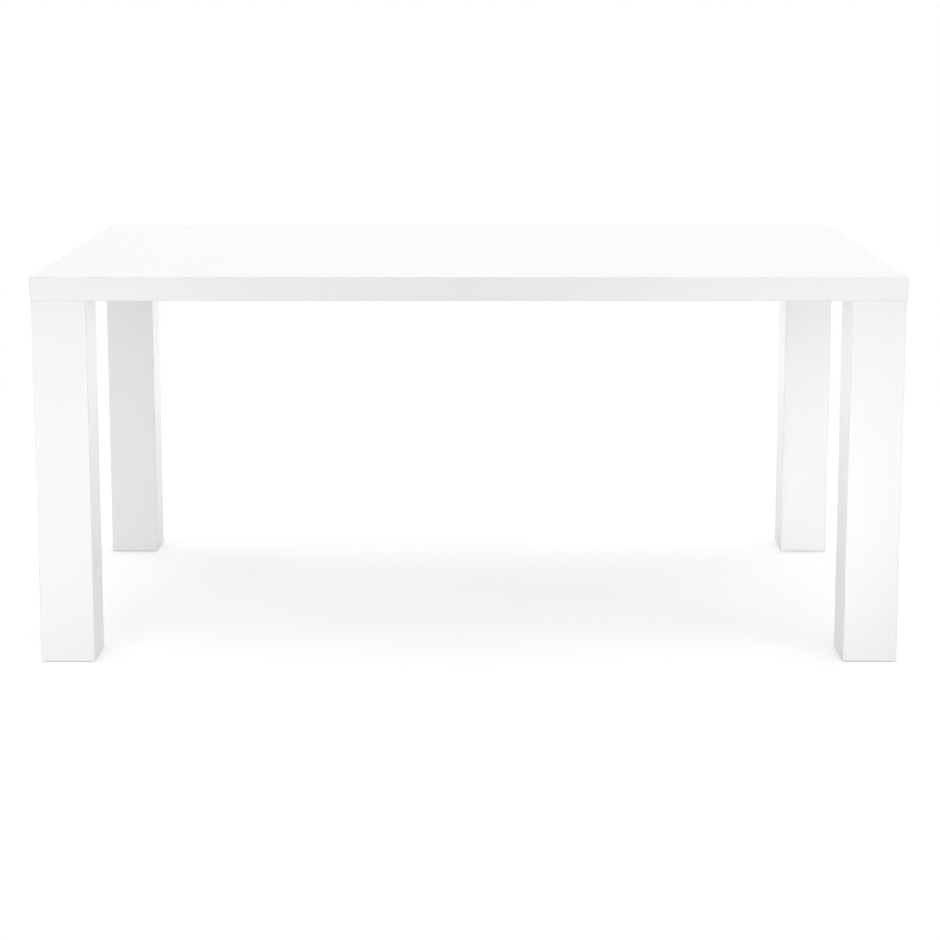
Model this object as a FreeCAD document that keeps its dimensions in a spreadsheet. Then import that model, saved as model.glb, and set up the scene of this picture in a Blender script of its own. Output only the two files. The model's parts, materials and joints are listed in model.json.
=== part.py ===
import FreeCAD, Part
import os
import re
import Sketcher
from FreeCAD import Placement, Rotation, Vector

# Parsons dining table: a hollow MDF top on four square hollow MDF legs, flush with its corners.
# Millimetres. Origin at the middle of the footprint, on the floor; X along the table, front at -Y.

doc = FreeCAD.newDocument("ParsonsDiningTable")
sheet = doc.addObject("Spreadsheet::Sheet", "Sizes")

sizes = {
    # the whole table: 64 x 36 x 29 in
    "table_length": 1625.6,
    "table_width": 914.4,
    "table_height": 736.6,
    # tabletop, a torsion box
    "top_thickness": 44.45,
    "top_skin_thickness": 8,
    "bottom_skin_thickness": 4,
    "rail_thickness": 20,
    "corner_radius": 2,
    "arris_radius": 1.5,
    "rib_thickness": 12,
    "cross_rib_spacing": 220,
    "long_rib_offset": 150,
    "corner_block_size": 150,
    # legs, 4 in square
    "leg_width": 101.6,
    "leg_reveal": 2,
    "leg_board_thickness": 15,
    "leg_top_block_height": 60,
    "foot_block_height": 25,
    "foot_gap": 1,
    # steel plate between leg and top
    "plate_size": 136,
    "plate_thickness": 4,
    "plate_inset": 8,
    "plate_corner_radius": 6,
    "plate_play": 0.5,
    "bolt_from_leg": 21,
    "bolt_past_axis": 10,
    "bolt_hole_diameter": 9,
    # M8 hardware
    "thread_diameter": 8,
    "thread_bore": 8.1,
    "bolt_length": 25,
    "bolt_across_flats": 13,
    "bolt_head_height": 5.3,
    "washer_diameter": 16,
    "washer_bore": 8.4,
    "washer_thickness": 1.6,
    "insert_diameter": 12,
    "insert_length": 16,
    "insert_flange_diameter": 16,
    "insert_flange_thickness": 1.5,
    "insert_hole_depth": 21,
    "hole_play": 0.1,
    # wood screws that hold the plate on the leg
    "screw_diameter": 5,
    "screw_length": 40,
    "screw_head_diameter": 9.8,
    "screw_tip_length": 5,
    "screw_tip_diameter": 1,
    "screw_spacing": 44,
    # tee nut, glide and its stud
    "tee_barrel_diameter": 10,
    "tee_barrel_length": 12,
    "tee_flange_diameter": 22,
    "tee_flange_thickness": 1.5,
    "glide_pocket_diameter": 38,
    "glide_pocket_depth": 8.3,
    "glide_diameter": 34,
    "glide_height": 9,
    "glide_edge_radius": 1.2,
    "key_access_diameter": 8,
    "socket_diameter": 14.2,
    "socket_floor": 2.5,
    "socket_height": 4,
    "stud_flange_diameter": 14,
    "stud_flange_height": 3.8,
    "stud_flange_gap": 0.1,
    "stud_top": 50,
    "stud_tip_length": 1,
    "key_across_flats": 5,
    "key_depth": 3,
}

for row, (alias, size) in enumerate(sizes.items(), start=1):
    sheet.set(f"A{row}", alias.replace("_", " "))
    sheet.set(f"B{row}", str(size))
    sheet.setAlias(f"B{row}", alias)
doc.recompute()

# Places worked out from the sizes, each an expression in the sheet's aliases
leg_centre_x = "(table_length / 2 - leg_reveal - leg_width / 2)"
leg_centre_y = "(table_width / 2 - leg_reveal - leg_width / 2)"
under_top = "(table_height - top_thickness)"
core_bottom = "(table_height - top_thickness + bottom_skin_thickness)"
core_height = "(top_thickness - top_skin_thickness - bottom_skin_thickness)"
leg_height = "(table_height - top_thickness - foot_gap)"
block_width = "(leg_width - 2 * leg_board_thickness)"
plate_near = "(plate_inset - leg_width / 2)"
plate_far = "(plate_inset - leg_width / 2 + plate_size)"

# A corner's own frame has its origin on the leg's axis, with +X and +Y towards the table's middle
# when the corner is front_left; the other corners are the same frame turned about Z.
corners = {
    "front_left": (-1, -1, 0),
    "front_right": (1, -1, 90),
    "back_right": (1, 1, 180),
    "back_left": (-1, 1, 270),
}
bolt_far = "(leg_width / 2 + bolt_from_leg)"
bolt_places = ((bolt_far, "bolt_past_axis"), (bolt_far, bolt_far), ("bolt_past_axis", bolt_far))
screw_half = "(screw_spacing / 2)"
screw_places = [(f"{a} * {screw_half}", f"{b} * {screw_half}") for a in (-1, 1) for b in (-1, 1)]

touching = 0.01
least_cut = 1
pieces = []


def in_sheet(expression):
    """Every word with an underscore in it is an alias of the sheet."""
    return re.sub(r"\b([a-z]+(?:_[a-z]+)+)\b", r"Sizes.\1", str(expression))


def number(expression):
    return float(sheet.evalExpression(in_sheet(expression)))


def bind(thing, **properties):
    for name, expression in properties.items():
        thing.setExpression(name, in_sheet(expression))


def place(thing, x="0", y="0", z="0", turn=0):
    """Put a thing at x, y, z, turned about the vertical."""
    thing.Placement = Placement(Vector(), Rotation(Vector(0, 0, 1), turn))
    for axis, expression in (("x", x), ("y", y), ("z", z)):
        thing.setExpression(f".Placement.Base.{axis}", in_sheet(expression))


def keep(thing, label):
    """Count a finished thing as one of the table's pieces, under the name that its file gets."""
    thing.Label = label
    pieces.append(thing)
    return thing


# ---- sketches and PartDesign features ----


def new_body(label):
    return keep(doc.addObject("PartDesign::Body", label), label)


def new_sketch(body, role="XY_Plane", lift="0"):
    sketch = body.newObject("Sketcher::SketchObject", "outline")
    plane = next(f for f in body.Origin.OriginFeatures if f.Role == role)
    sketch.AttachmentSupport = [(plane, "")]
    sketch.MapMode = "FlatFace"
    if lift != "0":
        sketch.setExpression(".AttachmentOffset.Base.z", in_sheet(lift))
    return sketch


def fix_point(sketch, line, end, x, y):
    """Hold a line's end, or a circle's centre, at x, y from the sketch's origin."""
    name = f"p{len(sketch.Constraints)}"
    for letter, kind, axis, expression in (("x", "DistanceX", -2, x), ("y", "DistanceY", -1, y)):
        if expression == "0":
            sketch.addConstraint(Sketcher.Constraint("PointOnObject", line, end, axis))
            continue
        rule = Sketcher.Constraint(kind, -1, 1, line, end, number(expression))
        sketch.renameConstraint(sketch.addConstraint(rule), name + letter)
        sketch.setExpression(f"Constraints.{name}{letter}", in_sheet(expression))


def draw_outline(sketch, points):
    """A closed outline of straight lines through points given as expressions."""
    corners_at = [Vector(number(x), number(y), 0) for x, y in points]
    first = len(sketch.Geometry)
    count = len(points)
    for n in range(count):
        sketch.addGeometry(Part.LineSegment(corners_at[n], corners_at[(n + 1) % count]), False)
    for n, (x, y) in enumerate(points):
        after = first + (n + 1) % count
        sketch.addConstraint(Sketcher.Constraint("Coincident", first + n, 2, after, 1))
        fix_point(sketch, first + n, 1, x, y)


def draw_rectangle(sketch, left, front, right, back):
    draw_outline(sketch, [(left, front), (right, front), (right, back), (left, back)])


def draw_circles(sketch, diameter, centres):
    for x, y in centres:
        centre = Vector(number(x), number(y), 0)
        circle = Part.Circle(centre, Vector(0, 0, 1), number(diameter) / 2)
        line = sketch.addGeometry(circle, False)
        rule = Sketcher.Constraint("Diameter", line, number(diameter))
        name = f"d{line}"
        sketch.renameConstraint(sketch.addConstraint(rule), name)
        sketch.setExpression(f"Constraints.{name}", in_sheet(diameter))
        fix_point(sketch, line, 3, x, y)


def add_pad(body, sketch, thickness):
    pad = body.newObject("PartDesign::Pad", "pad")
    pad.Profile = sketch
    bind(pad, Length=thickness)
    doc.recompute()
    return pad


def add_pocket(body, sketch, depth):
    """Cut upwards from the sketch, and see that something came away."""
    whole = body.Shape.Volume
    pocket = body.newObject("PartDesign::Pocket", "pocket")
    pocket.Profile = sketch
    pocket.Reversed = True
    bind(pocket, Length=depth)
    doc.recompute()
    if body.Shape.Volume > whole - least_cut:
        raise ValueError(f"{body.Label}: the pocket cuts nothing")
    return pocket


def add_fillet(body, feature, radius, test):
    """Round the edges of a feature whose middle passes the test."""
    names = [
        f"Edge{n}"
        for n, edge in enumerate(feature.Shape.Edges, start=1)
        if test(edge.BoundBox.Center)
    ]
    fillet = body.newObject("PartDesign::Fillet", "fillet")
    fillet.Base = (feature, names)
    bind(fillet, Radius=radius)
    doc.recompute()
    return fillet


def make_slab(label, left, front, right, back, thickness):
    """A rectangular board in its own body: the body, and its pad for further features."""
    body = new_body(label)
    sketch = new_sketch(body)
    draw_rectangle(sketch, left, front, right, back)
    return body, add_pad(body, sketch, thickness)


# ---- Part primitives, for the hardware ----


def make_cylinder(diameter, length, z="0"):
    cylinder = doc.addObject("Part::Cylinder", "cylinder")
    bind(cylinder, Radius=f"{diameter} / 2", Height=length)
    place(cylinder, z=z)
    return cylinder


def make_cone(bottom_diameter, top_diameter, length, z="0"):
    cone = doc.addObject("Part::Cone", "cone")
    bind(cone, Radius1=f"{bottom_diameter} / 2", Radius2=f"{top_diameter} / 2", Height=length)
    place(cone, z=z)
    return cone


def make_hexagon(across_flats, length, z="0"):
    prism = doc.addObject("Part::Prism", "hexagon")
    prism.Polygon = 6
    bind(prism, Circumradius=f"{across_flats} / sqrt(3)", Height=length)
    place(prism, z=z)
    return prism


def join(*shapes):
    fuse = doc.addObject("Part::MultiFuse", "fuse")
    fuse.Shapes = list(shapes)
    fuse.Refine = True
    return fuse


def cut(base, tool):
    difference = doc.addObject("Part::Cut", "cut")
    difference.Base = base
    difference.Tool = tool
    return difference


def group(things):
    compound = doc.addObject("Part::Compound", "group")
    compound.Links = things
    return compound


def mirror(thing, normal):
    image = doc.addObject("Part::Mirroring", "mirror")
    image.Source = thing
    image.Normal = normal
    return image


def at_all_corners(label, make_fastener, places, z):
    """The same fastener at each place of the front left corner, mirrored to the other three."""
    quarter = []
    for x, y in places:
        fastener = make_fastener()
        place(fastener, f"{x} - {leg_centre_x}", f"{y} - {leg_centre_y}", z)
        quarter.append(fastener)
    quarter = group(quarter)
    half = group([quarter, mirror(quarter, Vector(1, 0, 0))])
    keep(group([half, mirror(half, Vector(0, 1, 0))]), label)


# ---- tabletop ----


def make_top_skin():
    # its side faces are flush with the rails below; the rim and the corners are eased
    body, pad = make_slab(
        "top_skin",
        "-table_length / 2",
        "-table_width / 2",
        "table_length / 2",
        "table_width / 2",
        "top_skin_thickness",
    )
    top = sizes["top_skin_thickness"]
    eased = add_fillet(body, pad, "corner_radius", lambda middle: abs(middle.z - top / 2) < touching)
    add_fillet(body, eased, "arris_radius", lambda middle: middle.z > top - touching)
    place(body, z="table_height - top_skin_thickness")


def make_bottom_skin():
    body, pad = make_slab(
        "bottom_skin",
        "-table_length / 2",
        "-table_width / 2",
        "table_length / 2",
        "table_width / 2",
        "bottom_skin_thickness",
    )
    half = sizes["bottom_skin_thickness"] / 2
    eased = add_fillet(body, pad, "corner_radius", lambda middle: abs(middle.z - half) < touching)
    add_fillet(body, eased, "arris_radius", lambda middle: middle.z < touching)
    # an opening for each leg's plate, with play all round
    openings = new_sketch(body)
    near = f"({plate_near} - plate_play)"
    far = f"({plate_far} + plate_play)"
    for side_x, side_y, _ in corners.values():
        draw_rectangle(
            openings,
            f"{side_x} * ({leg_centre_x} - {near})",
            f"{side_y} * ({leg_centre_y} - {near})",
            f"{side_x} * ({leg_centre_x} - {far})",
            f"{side_y} * ({leg_centre_y} - {far})",
        )
    pocket = add_pocket(body, openings, "bottom_skin_thickness")
    add_fillet(
        body,
        pocket,
        "plate_corner_radius + plate_play",
        lambda middle: abs(middle.z - half) < touching and is_opening_corner(middle),
    )
    place(body, z=under_top)


def is_opening_corner(middle):
    """Whether a point of the bottom skin is above a corner of one of the plates' openings."""
    near = number(f"{plate_near} - plate_play")
    far = number(f"{plate_far} + plate_play")
    x = number(leg_centre_x) - abs(middle.x)
    y = number(leg_centre_y) - abs(middle.y)
    return min(abs(x - near), abs(x - far)) < touching and min(abs(y - near), abs(y - far)) < touching


def make_rails():
    # front and back rails run the full length, with the table's eased vertical corners
    for label, turn, side in (("front_rail", 0, -1), ("back_rail", 180, 1)):
        body, pad = make_slab(
            label,
            "-table_length / 2",
            "-rail_thickness / 2",
            "table_length / 2",
            "rail_thickness / 2",
            core_height,
        )
        middle_height = number(core_height) / 2
        add_fillet(
            body,
            pad,
            "corner_radius",
            lambda middle: middle.y < 0 and abs(middle.z - middle_height) < touching,
        )
        place(body, y=f"{side} * (table_width - rail_thickness) / 2", z=core_bottom, turn=turn)
    # the end rails fit between them
    for label, side in (("left_rail", -1), ("right_rail", 1)):
        body, _ = make_slab(
            label,
            "-rail_thickness / 2",
            "rail_thickness - table_width / 2",
            "rail_thickness / 2",
            "table_width / 2 - rail_thickness",
            core_height,
        )
        place(body, x=f"{side} * (table_length - rail_thickness) / 2", z=core_bottom)


def make_ribs():
    # long ribs are notched from above, cross ribs from below, and they lap at each crossing
    half_height = f"({core_height} / 2)"
    crossings = range(-2, 3)
    for label, side in (("front_long_rib", -1), ("back_long_rib", 1)):
        body, _ = make_slab(
            label,
            "rail_thickness - table_length / 2",
            "-rib_thickness / 2",
            "table_length / 2 - rail_thickness",
            "rib_thickness / 2",
            core_height,
        )
        notches = new_sketch(body, lift=half_height)
        for n in crossings:
            draw_rectangle(
                notches,
                f"{n} * cross_rib_spacing - rib_thickness / 2",
                "-rib_thickness / 2",
                f"{n} * cross_rib_spacing + rib_thickness / 2",
                "rib_thickness / 2",
            )
        add_pocket(body, notches, half_height)
        place(body, y=f"{side} * long_rib_offset", z=core_bottom)
    for n in crossings:
        body, _ = make_slab(
            f"cross_rib_{n + 3}",
            "-rib_thickness / 2",
            "rail_thickness - table_width / 2",
            "rib_thickness / 2",
            "table_width / 2 - rail_thickness",
            core_height,
        )
        notches = new_sketch(body)
        for side in (-1, 1):
            draw_rectangle(
                notches,
                "-rib_thickness / 2",
                f"{side} * long_rib_offset - rib_thickness / 2",
                "rib_thickness / 2",
                f"{side} * long_rib_offset + rib_thickness / 2",
            )
        add_pocket(body, notches, half_height)
        place(body, x=f"{n} * cross_rib_spacing", z=core_bottom)


def make_corner_block(corner, side_x, side_y, turn):
    # solid block in the corner of the rails, bored from below for the threaded inserts
    rail_inside = "(rail_thickness - leg_reveal - leg_width / 2)"
    body, _ = make_slab(
        f"{corner}_corner_block",
        rail_inside,
        rail_inside,
        f"{rail_inside} + corner_block_size",
        f"{rail_inside} + corner_block_size",
        core_height,
    )
    flange_seats = new_sketch(body)
    draw_circles(flange_seats, "insert_flange_diameter + hole_play", bolt_places)
    add_pocket(body, flange_seats, "insert_flange_thickness")
    bores = new_sketch(body)
    draw_circles(bores, "insert_diameter + hole_play", bolt_places)
    add_pocket(body, bores, "insert_hole_depth")
    place(body, f"{side_x} * {leg_centre_x}", f"{side_y} * {leg_centre_y}", core_bottom, turn)


# ---- legs ----


def make_leg_boards(corner, side_x, side_y):
    """Four boards round the leg's axis; the front and back ones cover the edges of the others."""
    outside = "(-leg_width / 2)"
    inside = "(leg_board_thickness - leg_width / 2)"
    inside_y = number(inside)
    outside_y = number(outside)
    middle_height = number(leg_height) / 2

    def is_leg_corner(middle):
        return abs(middle.y - outside_y) < touching and abs(middle.z - middle_height) < touching

    def is_wide_foot(middle):
        # on the three sides that show
        return middle.y < inside_y - touching and middle.z < touching

    def is_narrow_foot(middle):
        return abs(middle.y - outside_y) < touching and middle.z < touching

    wide = "leg_width / 2"
    narrow = f"{block_width} / 2"
    for name, turn, half_width in (
        ("front", 0, wide),
        ("right", 90, narrow),
        ("back", 180, wide),
        ("left", 270, narrow),
    ):
        body, pad = make_slab(
            f"{corner}_leg_{name}_board", f"-{half_width}", outside, half_width, inside, leg_height
        )
        if half_width == wide:
            eased = add_fillet(body, pad, "corner_radius", is_leg_corner)
            add_fillet(body, eased, "arris_radius", is_wide_foot)
        else:
            add_fillet(body, pad, "arris_radius", is_narrow_foot)
        place(body, f"{side_x} * {leg_centre_x}", f"{side_y} * {leg_centre_y}", "foot_gap", turn)


def make_leg_blocks(corner, side_x, side_y):
    half = f"({block_width} / 2)"
    # top block, with pilot holes for the plate's screws
    body, _ = make_slab(
        f"{corner}_leg_top_block", f"-{half}", f"-{half}", half, half, "leg_top_block_height"
    )
    depth = "(screw_length - plate_thickness + screw_tip_length)"
    pilots = new_sketch(body, lift=f"leg_top_block_height - {depth}")
    draw_circles(pilots, "screw_diameter + hole_play", screw_places)
    add_pocket(body, pilots, depth)
    bottom = f"{under_top} - leg_top_block_height"
    place(body, f"{side_x} * {leg_centre_x}", f"{side_y} * {leg_centre_y}", bottom)
    # foot block, bored for the tee nut and pocketed for the glide
    body, _ = make_slab(
        f"{corner}_leg_foot_block", f"-{half}", f"-{half}", half, half, "foot_block_height"
    )
    for diameter, depth in (
        ("glide_pocket_diameter", "glide_pocket_depth"),
        ("tee_barrel_diameter + hole_play", "foot_block_height"),
    ):
        bore = new_sketch(body)
        draw_circles(bore, diameter, [("0", "0")])
        add_pocket(body, bore, depth)
    place(body, f"{side_x} * {leg_centre_x}", f"{side_y} * {leg_centre_y}", "foot_gap")


def make_leg_plate(corner, side_x, side_y, turn):
    # covers the leg's end and reaches past its two inner faces, where the bolts go up into the top
    body, pad = make_slab(
        f"{corner}_leg_plate", plate_near, plate_near, plate_far, plate_far, "plate_thickness"
    )
    half = sizes["plate_thickness"] / 2
    add_fillet(body, pad, "plate_corner_radius", lambda middle: abs(middle.z - half) < touching)
    bolt_holes = new_sketch(body)
    draw_circles(bolt_holes, "bolt_hole_diameter", bolt_places)
    add_pocket(body, bolt_holes, "plate_thickness")
    # countersunk from the top face, so the screw heads lie flush
    screw_holes = new_sketch(body, lift="plate_thickness")
    draw_circles(screw_holes, "screw_diameter + 2 * hole_play", screw_places)
    hole = body.newObject("PartDesign::Hole", "hole")
    hole.Profile = screw_holes
    doc.recompute()
    hole.DepthType = "ThroughAll"
    hole.HoleCutType = "Countersink"
    hole.HoleCutCountersinkAngle = 90
    bind(
        hole,
        Diameter="screw_diameter + 2 * hole_play",
        HoleCutDiameter="screw_head_diameter + 2 * hole_play",
    )
    doc.recompute()
    place(body, f"{side_x} * {leg_centre_x}", f"{side_y} * {leg_centre_y}", under_top, turn)


def make_glide(corner, side_x, side_y):
    # nylon disc with a captive socket for the stud's flange and a way through for the hex key
    body = new_body(f"{corner}_glide")
    profile = new_sketch(body, "XZ_Plane")
    socket_top = "socket_floor + socket_height"
    draw_outline(
        profile,
        [
            ("key_access_diameter / 2", "0"),
            ("glide_diameter / 2", "0"),
            ("glide_diameter / 2", "glide_height"),
            ("thread_bore / 2", "glide_height"),
            ("thread_bore / 2", socket_top),
            ("socket_diameter / 2", socket_top),
            ("socket_diameter / 2", "socket_floor"),
            ("key_access_diameter / 2", "socket_floor"),
        ],
    )
    disc = body.newObject("PartDesign::Revolution", "disc")
    disc.Profile = profile
    disc.ReferenceAxis = (profile, ["V_Axis"])
    disc.Angle = 360
    doc.recompute()
    rims = [
        f"Edge{n}"
        for n, edge in enumerate(disc.Shape.Edges, start=1)
        if edge.BoundBox.XLength > sizes["glide_diameter"] - touching
    ]
    fillet = body.newObject("PartDesign::Fillet", "fillet")
    fillet.Base = (disc, rims)
    bind(fillet, Radius="glide_edge_radius")
    place(body, f"{side_x} * {leg_centre_x}", f"{side_y} * {leg_centre_y}")


def make_glide_stud(corner, side_x, side_y):
    # flange in the glide, hex socket from below, threaded shaft up through the tee nut
    base = "(socket_floor + stud_flange_gap)"
    shaft_length = f"(stud_top - stud_tip_length - {base})"
    steel = join(
        make_cylinder("stud_flange_diameter", "stud_flange_height", base),
        make_cylinder("thread_diameter", shaft_length, base),
        make_cone(
            "thread_diameter",
            "(thread_diameter - 2 * stud_tip_length)",
            "stud_tip_length",
            "stud_top - stud_tip_length",
        ),
    )
    stud = cut(steel, make_hexagon("key_across_flats", "key_depth", base))
    place(stud, f"{side_x} * {leg_centre_x}", f"{side_y} * {leg_centre_y}")
    keep(stud, f"{corner}_glide_stud")


# ---- fasteners, each kind in one group ----


def make_insert():
    # flanged threaded insert, driven up into a corner block
    metal = join(
        make_cylinder("insert_flange_diameter", "insert_flange_thickness"),
        make_cylinder("insert_diameter", "insert_length"),
    )
    return cut(metal, make_cylinder("thread_bore", "insert_length"))


def make_bolt():
    # hex bolt, head down; z = 0 is the seat of its head
    return join(
        make_hexagon("bolt_across_flats", "bolt_head_height", "-bolt_head_height"),
        make_cylinder("thread_diameter", "bolt_length"),
    )


def make_washer():
    return cut(
        make_cylinder("washer_diameter", "washer_thickness"),
        make_cylinder("washer_bore", "washer_thickness"),
    )


def make_screw():
    # countersunk wood screw, point down; z = 0 is the flat of its head
    head_height = "((screw_head_diameter - screw_diameter) / 2)"
    shank_end = "(screw_length - screw_tip_length)"
    return join(
        make_cone("screw_diameter", "screw_head_diameter", head_height, f"-{head_height}"),
        make_cylinder("screw_diameter", f"{shank_end} - {head_height}", f"-{shank_end}"),
        make_cone("screw_tip_diameter", "screw_diameter", "screw_tip_length", "-screw_length"),
    )


def make_tee_nut():
    # barrel in the foot block, flange on top of it; z = 0 is the flange's lower face
    metal = join(
        make_cylinder("tee_barrel_diameter", "tee_barrel_length", "-tee_barrel_length"),
        make_cylinder("tee_flange_diameter", "tee_flange_thickness"),
    )
    bore_length = "tee_barrel_length + tee_flange_thickness"
    return cut(metal, make_cylinder("thread_bore", bore_length, "-tee_barrel_length"))


make_top_skin()
make_bottom_skin()
make_rails()
make_ribs()
for corner, (side_x, side_y, turn) in corners.items():
    make_corner_block(corner, side_x, side_y, turn)
    make_leg_boards(corner, side_x, side_y)
    make_leg_blocks(corner, side_x, side_y)
    make_leg_plate(corner, side_x, side_y, turn)
    make_glide(corner, side_x, side_y)
    make_glide_stud(corner, side_x, side_y)
leg_axis = [("0", "0")]
at_all_corners("top_inserts", make_insert, bolt_places, core_bottom)
at_all_corners("mounting_bolts", make_bolt, bolt_places, f"{under_top} - washer_thickness")
at_all_corners("mounting_washers", make_washer, bolt_places, f"{under_top} - washer_thickness")
at_all_corners("plate_screws", make_screw, screw_places, f"{under_top} + plate_thickness")
at_all_corners("foot_tee_nuts", make_tee_nut, leg_axis, "foot_gap + foot_block_height")

doc.recompute()
for thing in doc.Objects:
    if {"Invalid", "Error"} & set(thing.State):
        raise ValueError(f"{thing.Label} is {thing.State}")
os.makedirs("parts", exist_ok=True)
for piece in pieces:
    shape = piece.Shape
    if shape.isNull() or not shape.isValid() or not shape.Solids:
        raise ValueError(f"{piece.Label} has no valid solid")
    shape.exportStep(f"parts/{piece.Label}.step")
    print(f"{piece.Label}: {len(shape.Solids)} solid(s), {shape.Volume / 1000:.1f} cm3")
print(f"{len(pieces)} nodes")
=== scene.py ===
import json
import math

import bmesh
import bpy
from mathutils import Matrix, Vector


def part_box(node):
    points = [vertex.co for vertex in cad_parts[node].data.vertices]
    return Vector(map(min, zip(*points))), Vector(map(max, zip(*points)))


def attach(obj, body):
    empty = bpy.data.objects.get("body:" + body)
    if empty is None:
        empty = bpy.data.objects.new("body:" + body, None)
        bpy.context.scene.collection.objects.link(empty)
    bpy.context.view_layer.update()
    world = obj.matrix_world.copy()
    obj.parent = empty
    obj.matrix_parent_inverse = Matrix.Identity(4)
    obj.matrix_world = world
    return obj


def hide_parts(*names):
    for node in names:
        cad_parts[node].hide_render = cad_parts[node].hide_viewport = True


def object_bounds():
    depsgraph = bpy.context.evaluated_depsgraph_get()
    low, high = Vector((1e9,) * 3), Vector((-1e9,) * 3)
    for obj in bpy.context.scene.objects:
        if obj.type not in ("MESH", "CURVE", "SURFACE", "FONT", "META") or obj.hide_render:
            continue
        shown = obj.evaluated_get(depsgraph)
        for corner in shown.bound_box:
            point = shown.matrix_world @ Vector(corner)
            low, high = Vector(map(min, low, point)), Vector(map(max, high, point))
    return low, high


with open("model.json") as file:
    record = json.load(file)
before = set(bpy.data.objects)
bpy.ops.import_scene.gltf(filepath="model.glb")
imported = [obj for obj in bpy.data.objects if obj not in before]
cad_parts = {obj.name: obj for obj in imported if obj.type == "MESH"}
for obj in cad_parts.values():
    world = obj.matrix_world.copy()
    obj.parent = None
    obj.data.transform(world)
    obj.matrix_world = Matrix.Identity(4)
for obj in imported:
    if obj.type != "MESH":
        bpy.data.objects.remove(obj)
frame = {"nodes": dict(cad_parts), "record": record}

# Parsons dining table in white high gloss: finishes, turned hardware, studio and camera.
# Metres, in the same frame as the CAD: X along the table, front at -Y, floor at z = 0.

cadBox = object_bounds()
corners = {"front_left": (-1, -1), "front_right": (1, -1), "back_right": (1, 1), "back_left": (-1, 1)}
mm = 0.001
mergeWithin = 0.001 * mm  # points nearer than this are the same point


def hexColour(code):
    # an sRGB hex colour as the linear values that a shader takes
    channels = [int(code[n : n + 2], 16) / 255 for n in (1, 3, 5)]
    linear = [c / 12.92 if c <= 0.04045 else ((c + 0.055) / 1.055) ** 2.4 for c in channels]
    return (*linear, 1)


def addNode(tree, kind, sockets=None, **settings):
    # one shader node; a socket takes a plain value, or another node's output as a link
    node = tree.nodes.new(kind)
    for name, value in settings.items():
        setattr(node, name, value)
    for socket, value in (sockets or {}).items():
        if isinstance(value, bpy.types.NodeSocket):
            tree.links.new(value, node.inputs[socket])
        else:
            node.inputs[socket].default_value = value
    return node


def newMaterial(name):
    # an empty node tree, with its Object coordinates and its output ready
    material = bpy.data.materials.new(name)
    material.use_nodes = True
    tree = material.node_tree
    tree.nodes.clear()
    place = addNode(tree, "ShaderNodeTexCoord").outputs["Object"]
    out = addNode(tree, "ShaderNodeOutputMaterial")
    return material, tree, place, out


def grain(size):
    # noise scale whose grains are about this many millimetres across
    return 1 / (size * mm)


# Polyurethane lacquer, sprayed on MDF, sanded back and polished: white pigment under a hard clear gloss.
# It gives a flat cool white with a sharp reflection that wavers a little over each panel.
glossLacquer = {
    "white": "#F2F4F5",
    "cloud": "#F0F1F2",  # the faint unevenness of the sprayed pigment
    "cloudSize": 240,  # mm
    "polished": 0.03,  # roughness
    "wiped": 0.075,  # roughness where cloths have gone
    "wipeSize": 45,  # mm
    "wipeFrom": 0.35,  # noise values where a wipe begins and where it is full
    "wipeTo": 0.7,
    "ior": 1.5,
    "panelSize": 130,  # mm, how the board shows through
    "panelHeight": 0.03,  # mm
    "peelSize": 7,  # mm; the film's ripple is 2 mm across, too fine to show, so it is drawn coarser
    "peelHeight": 0.0025,  # mm
    "rubbedAndShaded": "#DCDAD4",  # along the arrises: where sanding has thinned the film over its primer, and painted shade for the dark line along each rounded edge
    "rubbedRoughness": 0.16,
    "rubbedShadedLeast": 0.35,  # shares of the arris's colour, in patches
    "rubbedShadedMost": 0.75,
    "patchFrom": 0.4,  # noise values of the least and the most rubbed patches
    "patchTo": 0.6,
    "faceNormal": 0.99,  # largest part of the normal where a face ends and an arris begins
    "arrisNormal": 0.85,  # and where it is all arris
}

# White primer, rolled on the underside and only sealed: the same board without its gloss.
# It gives a dull, slightly warm white with the roller's stipple.
satinPrimer = {
    "white": "#E9E9E6",
    "thin": "#DDDCD8",  # where the primer has sunk into the board
    "thinSize": 90,  # mm
    "smooth": 0.42,  # roughness
    "dull": 0.6,
    "stippleSize": 5,  # mm; a roller leaves 1.5 mm, too fine to show, so it is drawn coarser
    "stippleHeight": 0.05,  # mm
    "primedFrom": -0.6,  # height of the normal where primer begins and where it covers all
    "primedTo": -0.9,
}


def sprayGloss(tree, place, gloss):
    # the film's colour and roughness on a face, and the noise that its wipes follow
    clouds = addNode(tree, "ShaderNodeTexNoise", {"Vector": place, "Scale": grain(gloss["cloudSize"])})
    colour = addNode(
        tree,
        "ShaderNodeMix",
        {"Factor": clouds.outputs["Fac"], 6: hexColour(gloss["white"]), 7: hexColour(gloss["cloud"])},
        data_type="RGBA",
    ).outputs[2]
    wipes = addNode(
        tree,
        "ShaderNodeTexNoise",
        {"Vector": place, "Scale": grain(gloss["wipeSize"]), "Detail": 6, "Distortion": 1.2},
    ).outputs["Fac"]
    roughness = addNode(
        tree,
        "ShaderNodeMapRange",
        {
            "Value": wipes,
            "From Min": gloss["wipeFrom"],
            "From Max": gloss["wipeTo"],
            "To Min": gloss["polished"],
            "To Max": gloss["wiped"],
        },
    ).outputs["Result"]
    return colour, roughness, wipes


# darkens and dulls the arrises: the film thinned by sanding, and a painted shade line along each rounded
# edge
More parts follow.
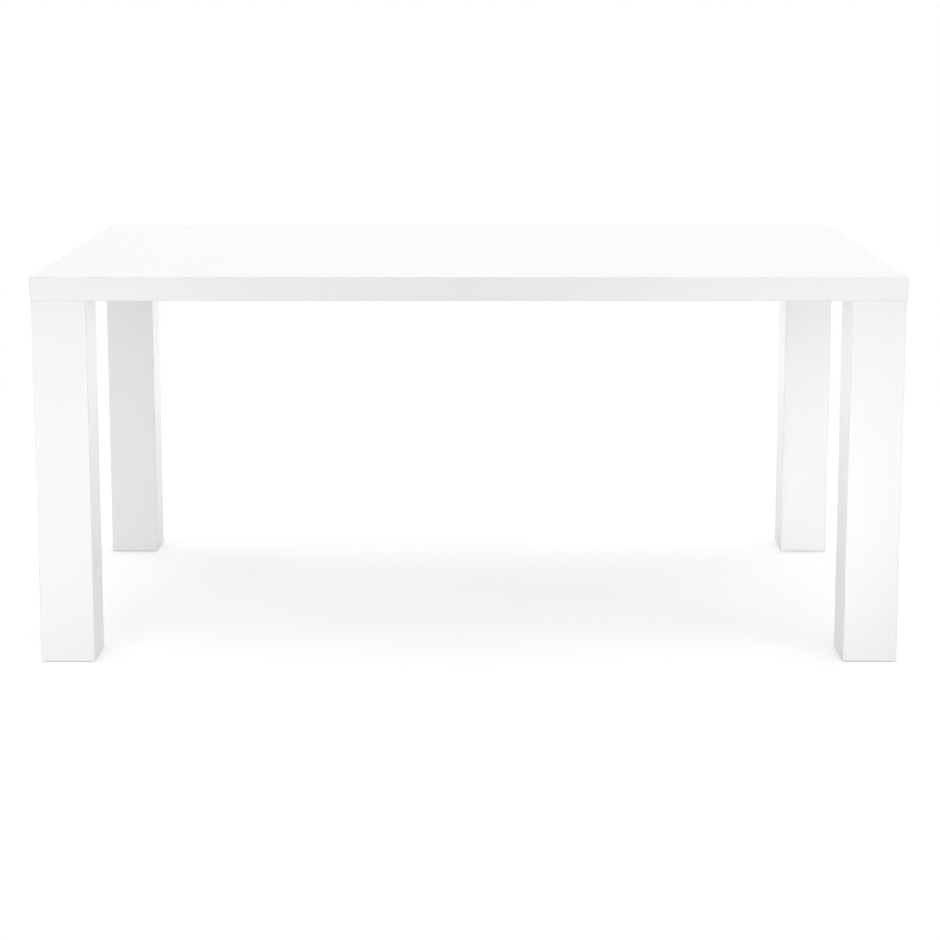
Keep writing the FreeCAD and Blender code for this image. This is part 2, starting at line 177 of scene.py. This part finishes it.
def rubAndShadeArrises(tree, facing, wipes, gloss, colour, roughness):
    # only an arris has a normal that leans between two axes
    lean = addNode(tree, "ShaderNodeVectorMath", {0: facing}, operation="ABSOLUTE").outputs["Vector"]
    parts = addNode(tree, "ShaderNodeSeparateXYZ", {"Vector": lean}).outputs
    widest = addNode(tree, "ShaderNodeMath", {0: parts["X"], 1: parts["Y"]}, operation="MAXIMUM")
    largest = addNode(
        tree, "ShaderNodeMath", {0: widest.outputs["Value"], 1: parts["Z"]}, operation="MAXIMUM"
    )
    arris = addNode(
        tree,
        "ShaderNodeMapRange",
        {
            "Value": largest.outputs["Value"],
            "From Min": gloss["faceNormal"],
            "From Max": gloss["arrisNormal"],
            "To Min": 0,
            "To Max": gloss["rubbedShadedMost"],
        },
    )
    patches = addNode(
        tree,
        "ShaderNodeMapRange",
        {
            "Value": wipes,
            "From Min": gloss["patchFrom"],
            "From Max": gloss["patchTo"],
            "To Min": gloss["rubbedShadedLeast"],
            "To Max": 1,
        },
    )
    rubbedAndShaded = addNode(
        tree,
        "ShaderNodeMath",
        {0: arris.outputs["Result"], 1: patches.outputs["Result"]},
        operation="MULTIPLY",
    ).outputs["Value"]
    # painted shade and thinned film: the arris colour mixed in along the edges
    colour = addNode(
        tree,
        "ShaderNodeMix",
        {"Factor": rubbedAndShaded, 6: colour, 7: hexColour(gloss["rubbedAndShaded"])},
        data_type="RGBA",
    ).outputs[2]
    roughness = addNode(
        tree, "ShaderNodeMix", {"Factor": rubbedAndShaded, 2: roughness, 3: gloss["rubbedRoughness"]}
    ).outputs[0]
    return colour, roughness


def rippleFilm(tree, place, gloss):
    # the film's own ripple, over the long waves of the board
    panel = addNode(
        tree, "ShaderNodeTexNoise", {"Vector": place, "Scale": grain(gloss["panelSize"]), "Detail": 1}
    )
    sag = addNode(
        tree, "ShaderNodeBump", {"Height": panel.outputs["Fac"], "Distance": gloss["panelHeight"] * mm}
    )
    peel = addNode(
        tree,
        "ShaderNodeTexNoise",
        {"Vector": place, "Scale": grain(gloss["peelSize"]), "Detail": 1.5, "Roughness": 0.4},
    )
    return addNode(
        tree,
        "ShaderNodeBump",
        {
            "Height": peel.outputs["Fac"],
            "Distance": gloss["peelHeight"] * mm,
            "Normal": sag.outputs["Normal"],
        },
    ).outputs["Normal"]


def primeBelow(tree, place, facing, primer, colour, roughness, surface):
    # primer in place of the gloss on every face that looks down
    upward = addNode(tree, "ShaderNodeSeparateXYZ", {"Vector": facing}).outputs["Z"]
    down = addNode(
        tree,
        "ShaderNodeMapRange",
        {
            "Value": upward,
            "From Min": primer["primedFrom"],
            "From Max": primer["primedTo"],
            "To Min": 0,
            "To Max": 1,
        },
    ).outputs["Result"]
    sunken = addNode(
        tree,
        "ShaderNodeTexNoise",
        {"Vector": place, "Scale": grain(primer["thinSize"]), "Detail": 5},
    ).outputs["Fac"]
    rolled = addNode(
        tree,
        "ShaderNodeMix",
        {"Factor": sunken, 6: hexColour(primer["white"]), 7: hexColour(primer["thin"])},
        data_type="RGBA",
    ).outputs[2]
    colour = addNode(
        tree, "ShaderNodeMix", {"Factor": down, 6: colour, 7: rolled}, data_type="RGBA"
    ).outputs[2]
    dulled = addNode(
        tree, "ShaderNodeMapRange", {"Value": sunken, "To Min": primer["smooth"], "To Max": primer["dull"]}
    ).outputs["Result"]
    roughness = addNode(tree, "ShaderNodeMix", {"Factor": down, 2: roughness, 3: dulled}).outputs[0]
    stipple = addNode(
        tree,
        "ShaderNodeTexNoise",
        {"Vector": place, "Scale": grain(primer["stippleSize"]), "Detail": 3},
    )
    surface = addNode(
        tree,
        "ShaderNodeBump",
        {
            "Height": stipple.outputs["Fac"],
            "Strength": down,
            "Distance": primer["stippleHeight"] * mm,
            "Normal": surface,
        },
    ).outputs["Normal"]
    return colour, roughness, surface


def makeWhiteBoard(name, gloss, primer=None):
    # gloss all over, or primed below
    material, tree, place, out = newMaterial(name)
    facing = addNode(tree, "ShaderNodeTexCoord").outputs["Normal"]
    colour, roughness, wipes = sprayGloss(tree, place, gloss)
    colour, roughness = rubAndShadeArrises(tree, facing, wipes, gloss, colour, roughness)
    surface = rippleFilm(tree, place, gloss)
    if primer:
        colour, roughness, surface = primeBelow(tree, place, facing, primer, colour, roughness, surface)
    shader = addNode(
        tree,
        "ShaderNodeBsdfPrincipled",
        {"Base Color": colour, "Roughness": roughness, "IOR": gloss["ior"], "Normal": surface},
    )
    tree.links.new(shader.outputs["BSDF"], out.inputs["Surface"])
    return material


# MDF as it is sawn: pressed wood fibre and resin.
# It gives a dull tan with fine paler and darker fibres, all one way along the board.
rawMdf = {
    "tan": "#B8976B",
    "pale": "#CDB389",
    "dark": "#8E6F4A",
    "darkAt": 0.32,  # noise values of the dark and the pale fibres; the tan is halfway
    "paleAt": 0.68,
    "fibreLength": 7,  # mm; drawn about three times too large, because true fibres are too fine to show
    "fibreWidth": 1.5,  # mm
    "cloudSize": 60,  # mm
    "fuzzHeight": 0.08,  # mm
    "roughness": 0.85,
    "ior": 1.45,
}


def makeRawMdf(recipe):
    material, tree, place, out = newMaterial("rawSawnMdf")
    across = grain(recipe["fibreWidth"])
    along = grain(recipe["fibreLength"])
    fibrePlace = addNode(tree, "ShaderNodeMapping", {"Vector": place, "Scale": (along, across, across)})
    fibres = addNode(
        tree,
        "ShaderNodeTexNoise",
        {"Vector": fibrePlace.outputs["Vector"], "Scale": 1, "Detail": 4, "Distortion": 0.6},
    ).outputs["Fac"]
    clouds = addNode(
        tree, "ShaderNodeTexNoise", {"Vector": place, "Scale": grain(recipe["cloudSize"]), "Detail": 3}
    ).outputs["Fac"]
    fibreShade = addNode(tree, "ShaderNodeValToRGB", {"Fac": fibres})
    ramp = fibreShade.color_ramp.elements
    ramp[0].position = recipe["darkAt"]
    ramp[0].color = hexColour(recipe["dark"])
    ramp[1].position = recipe["paleAt"]
    ramp[1].color = hexColour(recipe["pale"])
    ramp.new(0.5).color = hexColour(recipe["tan"])
    colour = addNode(
        tree,
        "ShaderNodeMix",
        {"Factor": clouds, 6: fibreShade.outputs["Color"], 7: hexColour(recipe["tan"])},
        data_type="RGBA",
    )
    fuzz = addNode(tree, "ShaderNodeBump", {"Height": fibres, "Distance": recipe["fuzzHeight"] * mm})
    shader = addNode(
        tree,
        "ShaderNodeBsdfPrincipled",
        {
            "Base Color": colour.outputs[2],
            "Roughness": recipe["roughness"],
            "IOR": recipe["ior"],
            "Normal": fuzz.outputs["Normal"],
        },
    )
    tree.links.new(shader.outputs["BSDF"], out.inputs["Surface"])
    return material


# Cold-rolled steel sheet, punched and zinc plated.
# It gives a pale grey metal with rolling lines and cloudy patches of blue and straw from its passivating.
zincSheet = {
    "name": "zincPlatedRolledSheet",
    "metal": "#C3C8CD",
    "tint": "#B9BAB2",  # where the passivating is thicker
    "tintSize": 25,  # mm
    "lineLength": 60,  # mm
    "lineWidth": 1.5,  # mm; rolling lines are finer, and are drawn coarser to show
    "lineHeight": 0.004,  # mm
    "bright": 0.26,  # roughness
    "dull": 0.42,
    "brightAt": 0.3,  # noise values of the brightest and the dullest lines
    "dullAt": 0.7,
}

# Cold-headed steel hardware, barrel plated with bright zinc.
# It gives a brighter, more even grey than the sheet, with the small dents of tumbling together.
zincHardware = {
    "name": "barrelPlatedZinc",
    "metal": "#CDD1D5",
    "tint": "#BFC1BD",
    "tintSize": 8,
    "lineLength": 3,
    "lineWidth": 2,
    "lineHeight": 0.01,
    "bright": 0.2,
    "dull": 0.34,
    "brightAt": 0.3,
    "dullAt": 0.7,
}


def makeZinc(recipe):
    material, tree, place, out = newMaterial(recipe["name"])
    patches = addNode(
        tree, "ShaderNodeTexNoise", {"Vector": place, "Scale": grain(recipe["tintSize"]), "Detail": 3}
    ).outputs["Fac"]
    colour = addNode(
        tree,
        "ShaderNodeMix",
        {"Factor": patches, 6: hexColour(recipe["metal"]), 7: hexColour(recipe["tint"])},
        data_type="RGBA",
    )
    across = grain(recipe["lineWidth"])
    along = grain(recipe["lineLength"])
    linePlace = addNode(tree, "ShaderNodeMapping", {"Vector": place, "Scale": (along, across, across)})
    lines = addNode(
        tree, "ShaderNodeTexNoise", {"Vector": linePlace.outputs["Vector"], "Scale": 1, "Detail": 3}
    ).outputs["Fac"]
    roughness = addNode(
        tree,
        "ShaderNodeMapRange",
        {
            "Value": lines,
            "From Min": recipe["brightAt"],
            "From Max": recipe["dullAt"],
            "To Min": recipe["bright"],
            "To Max": recipe["dull"],
        },
    )
    dents = addNode(tree, "ShaderNodeBump", {"Height": lines, "Distance": recipe["lineHeight"] * mm})
    shader = addNode(
        tree,
        "ShaderNodeBsdfPrincipled",
        {
            "Base Color": colour.outputs[2],
            "Metallic": 1,
            "Roughness": roughness.outputs["Result"],
            "Normal": dents.outputs["Normal"],
        },
    )
    tree.links.new(shader.outputs["BSDF"], out.inputs["Surface"])
    return material


# Nylon, injection moulded in a tool with a spark-eroded surface, left in its natural colour.
# It gives a milky off-white with a soft, finely pebbled sheen.
mouldedNylon = {
    "milky": "#DEDDD4",
    "dense": "#D3D1C6",
    "flowSize": 14,  # mm, how the melt flowed
    "pebbleSize": 1.2,  # mm; spark erosion is far finer, and is drawn coarser to show
    "pebbleHeight": 0.02,  # mm
    "roughness": 0.42,
    "ior": 1.53,
}


def makeNylon(recipe):
    material, tree, place, out = newMaterial("mouldedNaturalNylon")
    flow = addNode(
        tree,
        "ShaderNodeTexNoise",
        {"Vector": place, "Scale": grain(recipe["flowSize"]), "Detail": 2, "Distortion": 2},
    )
    colour = addNode(
        tree,
        "ShaderNodeMix",
        {"Factor": flow.outputs["Fac"], 6: hexColour(recipe["milky"]), 7: hexColour(recipe["dense"])},
        data_type="RGBA",
    )
    pebbles = addNode(tree, "ShaderNodeTexVoronoi", {"Vector": place, "Scale": grain(recipe["pebbleSize"])})
    skin = addNode(
        tree,
        "ShaderNodeBump",
        {"Height": pebbles.outputs["Distance"], "Distance": recipe["pebbleHeight"] * mm},
    )
    shader = addNode(
        tree,
        "ShaderNodeBsdfPrincipled",
        {
            "Base Color": colour.outputs[2],
            "Roughness": recipe["roughness"],
            "IOR": recipe["ior"],
            "Normal": skin.outputs["Normal"],
        },
    )
    tree.links.new(shader.outputs["BSDF"], out.inputs["Surface"])
    return material


finishes = {
    "gloss_white": makeWhiteBoard("glossLacquerOnMdf", glossLacquer),
    "satin_white": makeWhiteBoard("primedUndersideMdf", glossLacquer, satinPrimer),
    "raw_mdf": makeRawMdf(rawMdf),
    "plate_steel": makeZinc(zincSheet),
    "zinc_steel": makeZinc(zincHardware),
    "nylon": makeNylon(mouldedNylon),
}


def finish(piece, slot):
    piece.data.materials.clear()
    piece.data.materials.append(finishes[slot])


for part in frame["record"]["subparts"]:
    finish(frame["nodes"][part["node"]], part["material_slot"])
print("finishes on")


def selectPoints(piece, test):
    # in edit mode: selects the points whose place passes the test, and nothing else
    bpy.ops.mesh.select_all(action="DESELECT")
    shape = bmesh.from_edit_mesh(piece.data)
    for point in shape.verts:
        point.select_set(test(point.co))
    shape.select_flush_mode()
    bmesh.update_edit_mesh(piece.data)


def turn(name, outline, sides, isRing=False):
    # turns an outline of (radius, height) round the Z axis: a circle drawn up ring by ring
    bpy.ops.object.select_all(action="DESELECT")
    radius, height = outline[0]
    bpy.ops.mesh.primitive_circle_add(vertices=sides, radius=radius, location=(0, 0, height))
    piece = bpy.context.object
    piece.name = name
    bpy.ops.object.transform_apply(location=True, rotation=True, scale=True)
    bpy.ops.object.mode_set(mode="EDIT")
    bpy.ops.mesh.select_mode(type="VERT")
    bpy.ops.mesh.select_all(action="SELECT")
    if not isRing:
        bpy.ops.mesh.edge_face_add()
    path = outline[1:] + outline[:1] if isRing else outline[1:]
    for nextRadius, nextHeight in path:
        bpy.ops.mesh.extrude_region_move(TRANSFORM_OT_translate={"value": (0, 0, nextHeight - height)})
        wider = nextRadius / radius
        bpy.ops.transform.resize(value=(wider, wider, 1), center_override=(0, 0, 0))
        radius, height = nextRadius, nextHeight
    bpy.ops.mesh.select_all(action="SELECT")
    bpy.ops.mesh.remove_doubles(threshold=mergeWithin)
    bpy.ops.mesh.normals_make_consistent(inside=False)
    bpy.ops.object.mode_set(mode="OBJECT")
    return piece


def boolean(piece, tool, operation):
    # cuts the piece with the tool, joins them or keeps what they share, and takes the tool away
    bpy.ops.object.select_all(action="DESELECT")
    bpy.context.view_layer.objects.active = piece
    piece.select_set(True)
    cutter = piece.modifiers.new("boolean", "BOOLEAN")
    cutter.operation = operation
    cutter.object = tool
    bpy.ops.object.modifier_apply(modifier=cutter.name)
    bpy.data.objects.remove(tool)
    return piece


def settle(piece, sharpAngle=30):
    # merges the points that booleans leave too close together, then smooths over all but sharp edges
    bpy.ops.object.select_all(action="DESELECT")
    bpy.context.view_layer.objects.active = piece
    piece.select_set(True)
    bpy.ops.object.mode_set(mode="EDIT")
    bpy.ops.mesh.select_all(action="SELECT")
    bpy.ops.mesh.remove_doubles(threshold=2 * mergeWithin)
    bpy.ops.mesh.dissolve_degenerate(threshold=mergeWithin)
    bpy.ops.object.mode_set(mode="OBJECT")
    bpy.ops.object.shade_smooth_by_angle(angle=math.radians(sharpAngle))
    return piece


def copyTo(piece, name, offset):
    twin = piece.copy()
    twin.data = piece.data.copy()
    twin.data.transform(Matrix.Translation(offset))
    twin.name = name
    bpy.context.collection.objects.link(twin)
    return twin


def addThread(shank, start, end, thread):
    # winds a ridge round the shank: its section, a small plane stood up, is screwed round the axis
    depth = thread["major"] - thread["minor"] + thread["buried"]
    foot = thread["pitch"] - thread["root"]
    bpy.ops.object.select_all(action="DESELECT")
    bpy.ops.mesh.primitive_plane_add(size=1, rotation=(math.radians(90), 0, 0))
    ridge = bpy.context.object
    bpy.ops.object.transform_apply(location=False, rotation=True, scale=False)
    bpy.ops.object.mode_set(mode="EDIT")
    bpy.ops.mesh.select_all(action="SELECT")
    bpy.ops.transform.resize(value=(depth, 1, foot), center_override=(0, 0, 0))
    bpy.ops.transform.translate(value=(thread["major"] - depth / 2, 0, start + foot / 2))
    selectPoints(ridge, lambda place: place.x > thread["minor"])
    bpy.ops.transform.resize(
        value=(1, 1, thread["crest"] / foot), center_override=(0, 0, start + foot / 2)
    )
    bpy.ops.mesh.select_all(action="SELECT")
    bpy.ops.mesh.delete(type="ONLY_FACE")
    bpy.ops.object.mode_set(mode="OBJECT")
    screw = ridge.modifiers.new("screw", "SCREW")
    screw.screw_offset = thread["pitch"]
    screw.iterations = int((end - start - foot) / thread["pitch"])
    screw.steps = screw.render_steps = thread["steps"]
    bpy.ops.object.modifier_apply(modifier=screw.name)
    bpy.ops.object.mode_set(mode="EDIT")
    bpy.ops.mesh.select_all(action="SELECT")
    bpy.ops.mesh.remove_doubles(threshold=mergeWithin)
    bpy.ops.mesh.fill_holes(sides=4)  # the ridge's two ends
    bpy.ops.mesh.select_all(action="SELECT")
    bpy.ops.mesh.quads_convert_to_tris()
    bpy.ops.mesh.normals_make_consistent(inside=False)
    bpy.ops.transform.rotate(value=thread["start"], orient_axis="Z", center_override=(0, 0, 0))
    bpy.ops.object.mode_set(mode="OBJECT")
    boolean(shank, ridge, "UNION")


# Metric coarse thread, the same on the bolts and on the glides' studs.
coarseM8 = {
    "major": 4 * mm,  # radii of the crest and of the root
    "minor": 3.23 * mm,
    "pitch": 1.25 * mm,
    "crest": 0.16 * mm,  # widths of the flats
    "root": 0.12 * mm,
    "buried": 0.15 * mm,  # how far the ridge starts inside the shank
    "steps": 24,  # faces round one turn
    "start": math.radians(4),  # the ridge's ends lie between the shank's corners
}

mountingBolt = {
    "acrossFlats": 13 * mm,
    "headHeight": 5.3 * mm,
    "crown": 12.3 * mm,  # diameter of the flat inside the head's turned chamfer
    "chamfer": math.radians(30),
    "length": 25 * mm,
    "threadFrom": 7 * mm,  # above the head's seat
    "threadTo": 24.2 * mm,
    "runout": 0.7 * mm,  # taper from the plain shank to the thread's root
    "tipRadius": 2.7 * mm,
    "sides": 32,
}

mountingWasher = {
    "outer": 8 * mm,  # radius
    "inner": 4.2 * mm,
    "thickness": 1.6 * mm,
    "punchedEdge": 0.25 * mm,  # rounded on the side that the punch came from
    "sides": 48,
}

boltPlaces = {
    "fromPlateEdge": 21.4 * mm,  # the far rows, in from the plate's two inner edges
    "pastAxis": 10 * mm,  # the near rows, past the leg's axis
}


def legAxis(corner):
    low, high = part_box(f"{corner}_leg_top_block")
    return Vector(((low[0] + high[0]) / 2, (low[1] + high[1]) / 2, 0))


def findBoltPlaces(rule):
    # three to a corner, on the ears of its plate, at the height of the underside
    places = []
    for corner, (sideX, sideY) in corners.items():
        axis = legAxis(corner)
        low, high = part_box(f"{corner}_leg_plate")
        farX = (high[0] if sideX < 0 else low[0]) + sideX * rule["fromPlateEdge"]
        farY = (high[1] if sideY < 0 else low[1]) + sideY * rule["fromPlateEdge"]
        nearX = axis.x - sideX * rule["pastAxis"]
        nearY = axis.y - sideY * rule["pastAxis"]
        for x, y in ((farX, nearY), (farX, farY), (nearX, farY)):
            places.append(Vector((x, y, low[2])))
    return places


def makeWasher(size):
    edge = size["punchedEdge"]
    bend = edge * (1 - math.sqrt(0.5))
    low = -size["thickness"]
    outline = [
        (size["inner"], low),
        (size["outer"] - edge, low),
        (size["outer"] - bend, low + bend),
        (size["outer"], low + edge),
        (size["outer"], 0),
        (size["inner"], 0),
    ]
    return settle(turn("mountingWasher", outline, size["sides"], isRing=True))


def makeBolt(size, thread):
    # head down: a hexagon whose lower corners are turned off by a cone
    height = size["headHeight"]
    corner = size["acrossFlats"] / math.sqrt(3)
    spare = 1 * mm
    head = turn("mountingBolt", [(corner, -height - spare), (corner, 0)], 6)
    crown = size["crown"] / 2
    reach = height + spare
    cone = turn(
        "chamferCone",
        [(crown, -height), (crown + reach / math.tan(size["chamfer"]), spare)],
        2 * size["sides"],
    )
    boolean(head, cone, "INTERSECT")
    shank = turn(
        "shank",
        [
            (thread["major"], -height / 2),
            (thread["major"], size["threadFrom"] - size["runout"]),
            (thread["minor"], size["threadFrom"]),
            (thread["minor"], size["threadTo"]),
            (size["tipRadius"], size["length"]),
        ],
        size["sides"],
    )
    addThread(shank, size["threadFrom"], size["threadTo"], thread)
    return settle(boolean(head, shank, "UNION"))


def addMountingHardware():
    washer = makeWasher(mountingWasher)
    bolt = makeBolt(mountingBolt, coarseM8)
    seat = Vector((0, 0, -mountingWasher["thickness"]))
    for n, place in enumerate(findBoltPlaces(boltPlaces), start=1):
        for pattern, offset, node in (
            (washer, place, "mounting_washers"),
            (bolt, place + seat, "mounting_bolts"),
        ):
            piece = copyTo(pattern, f"{pattern.name}_{n}", offset)
            finish(piece, "zinc_steel")
            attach(piece, "table")
            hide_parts(node)
    bpy.data.objects.remove(washer)
    bpy.data.objects.remove(bolt)


addMountingHardware()
print("bolts and washers in")

glide = {
    "outer": 17 * mm,  # radius
    "height": 9 * mm,
    "soleEdge": 1.2 * mm,  # rounded so that it slides
    "topEdge": 0.5 * mm,
    "keyHole": 4 * mm,  # radius of the way through for a hex key
    "socket": 7.1 * mm,  # radius of the pocket that holds the stud's flange
    "socketFrom": 2.5 * mm,
    "socketTo": 6.5 * mm,
    "neck": 4.05 * mm,  # radius round the stud
    "flutes": 18,
    "fluteDepths": (0.35, 0.7, 0.35),  # mm, for the three columns of points that make a flute
    "columns": 8,  # points round the rim for each flute
}

glideStud = {
    "flange": 7 * mm,  # radius
    "flangeFrom": 2.6 * mm,
    "flangeTo": 6.4 * mm,
    "flangeEdge": 0.4 * mm,
    "threadFrom": 9.8 * mm,
    "threadTo": 49.2 * mm,
    "runout": 0.7 * mm,
    "top": 50 * mm,
    "tipRadius": 2.7 * mm,
    "keyAcrossFlats": 5 * mm,
    "keyDepth": 3 * mm,
    "sides": 32,
}


def makeGlide(size):
    outer = size["outer"]
    height = size["height"]
    sole = size["soleEdge"]
    bend = sole * (1 - math.sqrt(0.5))
    outline = [
        (size["keyHole"], 0),
        (outer - sole, 0),
        (outer - bend, bend),
        (outer, sole),
        (outer, height - size["topEdge"]),
        (outer - size["topEdge"], height),
        (size["neck"], height),
        (size["neck"], size["socketTo"]),
        (size["socket"], size["socketTo"]),
        (size["socket"], size["socketFrom"]),
        (size["keyHole"], size["socketFrom"]),
    ]
    points = size["flutes"] * size["columns"]

    def rimColumn(place):
        # which of its flute's columns a point on the rim is in
        onRim = math.hypot(place.x, place.y) > outer - sole and place.z > sole / 2
        step = round(math.atan2(place.y, place.x) / (2 * math.pi / points))
        return step % size["columns"] if onRim else None

    piece = turn("glideBody", outline, points, isRing=True)
    bpy.ops.object.mode_set(mode="EDIT")
    for column, depth in enumerate(size["fluteDepths"]):
        selectPoints(piece, lambda place: rimColumn(place) == column)
        inward = 1 - depth * mm / outer
        bpy.ops.transform.resize(value=(inward, inward, 1), center_override=(0, 0, 0))
    bpy.ops.object.mode_set(mode="OBJECT")
    return settle(piece)


def makeStud(size, thread):
    flange = size["flange"]
    edge = size["flangeEdge"]
    bottom, top = size["flangeFrom"], size["flangeTo"]
    outline = [
        (flange - edge, bottom),
        (flange, bottom + edge),
        (flange, top - edge),
        (flange - edge, top),
        (thread["major"], top),
        (thread["major"], size["threadFrom"] - size["runout"]),
        (thread["minor"], size["threadFrom"]),
        (thread["minor"], size["threadTo"]),
        (size["tipRadius"], size["top"]),
    ]
    stud = turn("glideStud", outline, size["sides"])
    addThread(stud, size["threadFrom"], size["threadTo"], thread)
    keyRadius = size["keyAcrossFlats"] / math.sqrt(3)
    spare = 1 * mm
    key = turn("hexKey", [(keyRadius, bottom - spare), (keyRadius, bottom + size["keyDepth"])], 6)
    return settle(boolean(stud, key, "DIFFERENCE"))


def addGlides():
    body = makeGlide(glide)
    stud = makeStud(glideStud, coarseM8)
    for corner in corners:
        for pattern, slot, ridesOn, node in (
            (body, "nylon", f"{corner}_glide", f"{corner}_glide"),
            (stud, "zinc_steel", f"{corner}_stud", f"{corner}_glide_stud"),
        ):
            piece = copyTo(pattern, f"{pattern.name}_{corner}", legAxis(corner))
            finish(piece, slot)
            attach(piece, ridesOn)
            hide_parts(node)
    bpy.data.objects.remove(body)
    bpy.data.objects.remove(stud)


addGlides()
print("glides in")

# A white paper floor in a plain white room.
studio = {
    "floorColour": "#F7F7F7",
    "floorSize": 9,
    "farFrom": 0.9,  # between these distances from the table's middle the paper turns plain white
    "farTo": 2.8,
    "glow": 0.22,  # added nearer than that for camera rays: lit paper is just white, and its shadow shows
    "paintedMirrorGlowNear": 0.02,  # added for what the gloss reflects: a painted glow, faint near the table and stronger away from it, so the reflected floor shows painted shade near the table
    "paintedMirrorGlowFar": 0.34,
    "sky": 0.6,
}

softboxes = {
    "overhead": {"place": (0, 0, 3.2), "size": (4.0, 3.0), "power": 34.2, "aim": (0, 0, 0.7)},
    "front": {"place": (1.8, -5.0, 2.0), "size": (3.0, 2.5), "power": 23.3, "aim": (0, 0, 0.4)},
    "wideRight": {"place": (4.0, -3.2, 1.6), "size": (2.0, 2.0), "power": 26.3, "aim": (0, 0, 0.4)},
    "behind": {"place": (0, 4.6, 2.4), "size": (4.5, 2.5), "power": 24.6, "aim": (0, 0, 0.4)},
    "behindLeft": {"place": (-4.4, 3.0, 2.0), "size": (3.0, 2.5), "power": 29, "aim": (0, 0, 0.4)},
    "behindRight": {"place": (4.4, 3.0, 2.0), "size": (3.0, 2.5), "power": 21.4, "aim": (0, 0, 0.4)},
    "frontLegLeft": {
        "place": (-1.2, -1.7, 0.5),
        "size": (0.6, 0.8),
        "power": 0.85,
        "aim": (-0.76, -0.4, 0.3),
        "spread": 70,
    },
    "frontLegRight": {
        "place": (-1.5, -3.0, 1.1),
        "size": (0.6, 0.6),
        "power": 0.17,
        "aim": (0.95, -0.45, 0.6),
        "spread": 14,
    },
    "backLegRight": {
        "place": (-0.6, -3.4, 0.5),
        "size": (0.5, 0.5),
        "power": 0.38,
        "aim": (0.76, 0.4, 0.15),
        "spread": 16,
    },
}


def makeFloor(recipe):
    bpy.ops.object.select_all(action="DESELECT")
    bpy.ops.mesh.primitive_plane_add(size=recipe["floorSize"], location=(0, 0, 0))
    floor = bpy.context.object
    floor.name = "studioFloor"
    material, tree, place, out = newMaterial("paperSweep")
    paper = addNode(tree, "ShaderNodeBsdfDiffuse", {"Color": hexColour(recipe["floorColour"])})
    ray = addNode(tree, "ShaderNodeLightPath").outputs
    away = addNode(tree, "ShaderNodeVectorMath", {0: place}, operation="LENGTH").outputs["Value"]
    far = addNode(
        tree,
        "ShaderNodeMapRange",
        {"Value": away, "From Min": recipe["farFrom"], "From Max": recipe["farTo"]},
        interpolation_type="SMOOTHSTEP",
    ).outputs["Result"]
    # painted light for the gloss: the reflected floor glows more away from the table, leaving painted shade
    # near it
    paintedMirrorGlow = addNode(
        tree,
        "ShaderNodeMapRange",
        {"Value": far, "To Min": recipe["paintedMirrorGlowNear"], "To Max": recipe["paintedMirrorGlowFar"]},
    ).outputs["Result"]
    glow = addNode(
        tree, "ShaderNodeMath", {0: ray["Is Camera Ray"], 1: recipe["glow"]}, operation="MULTIPLY"
    ).outputs["Value"]
    glow = addNode(
        tree, "ShaderNodeMath", {0: ray["Is Glossy Ray"], 1: paintedMirrorGlow, 2: glow}, operation="MULTIPLY_ADD"
    ).outputs["Value"]
    light = addNode(tree, "ShaderNodeEmission", {"Strength": glow})
    near = addNode(tree, "ShaderNodeAddShader", {0: paper.outputs[0], 1: light.outputs[0]})
    plain = addNode(
        tree, "ShaderNodeMath", {0: ray["Is Camera Ray"], 1: far}, operation="MULTIPLY"
    ).outputs["Value"]
    white = addNode(tree, "ShaderNodeEmission", {"Color": hexColour("#FFFFFF"), "Strength": 1})
    both = addNode(tree, "ShaderNodeMixShader", {"Fac": plain, 1: near.outputs[0], 2: white.outputs[0]})
    tree.links.new(both.outputs[0], out.inputs["Surface"])
    floor.data.materials.append(material)


def makeSky(recipe):
    # plain white to the eye and in the gloss, and softer where it lights the table
    world = bpy.data.worlds.new("studioWhite")
    bpy.context.scene.world = world
    world.use_nodes = True
    tree = world.node_tree
    tree.nodes.clear()
    ray = addNode(tree, "ShaderNodeLightPath")
    seen = addNode(
        tree,
        "ShaderNodeMath",
        {0: ray.outputs["Is Camera Ray"], 1: ray.outputs["Is Glossy Ray"]},
        operation="MAXIMUM",
    )
    strength = addNode(
        tree,
        "ShaderNodeMapRange",
        {"Value": seen.outputs[0], "To Min": recipe["sky"], "To Max": 1},
    )
    background = addNode(
        tree,
        "ShaderNodeBackground",
        {"Color": hexColour("#FFFFFF"), "Strength": strength.outputs["Result"]},
    )
    addNode(tree, "ShaderNodeOutputWorld", {"Surface": background.outputs[0]})


def makeSoftbox(name, place, size, power, aim, spread=180):
    light = bpy.data.lights.new(name, "AREA")
    light.shape = "RECTANGLE"
    light.size, light.size_y = size
    light.energy = power
    light.spread = math.radians(spread)
    lamp = bpy.data.objects.new(name, light)
    bpy.context.collection.objects.link(lamp)
    lamp.location = place
    lamp.rotation_euler = (Vector(aim) - Vector(place)).to_track_quat("-Z", "Y").to_euler()
    lamp.visible_camera = False
    lamp.visible_glossy = False  # the gloss shows the plain white room, not the lamps


makeFloor(studio)
makeSky(studio)
for name, box in softboxes.items():
    makeSoftbox(name, **box)
print("studio set")

# A long lens half a metre above the top, square to the table's long side.
view = {
    "lens": 81,  # mm
    "sensor": 36,  # mm
    "distance": 3.873,  # from the table's front edge
    "aside": 0.002,  # to the right of its middle
    "height": 1.248,
    "tilt": 8.16,  # degrees below level
    "rise": -0.18,  # lens shift that keeps the legs nearly upright
}


def makeCamera(recipe):
    data = bpy.data.cameras.new("studioCamera")
    data.lens = recipe["lens"]
    data.sensor_width = recipe["sensor"]
    data.shift_y = recipe["rise"]
    camera = bpy.data.objects.new("studioCamera", data)
    bpy.context.collection.objects.link(camera)
    front = cadBox[0][1]
    camera.location = (recipe["aside"], front - recipe["distance"], recipe["height"])
    camera.rotation_euler = (math.radians(90 - recipe["tilt"]), 0, 0)
    bpy.context.scene.camera = camera


makeCamera(view)
bpy.context.scene.view_settings.view_transform = "Standard"
print("camera set")
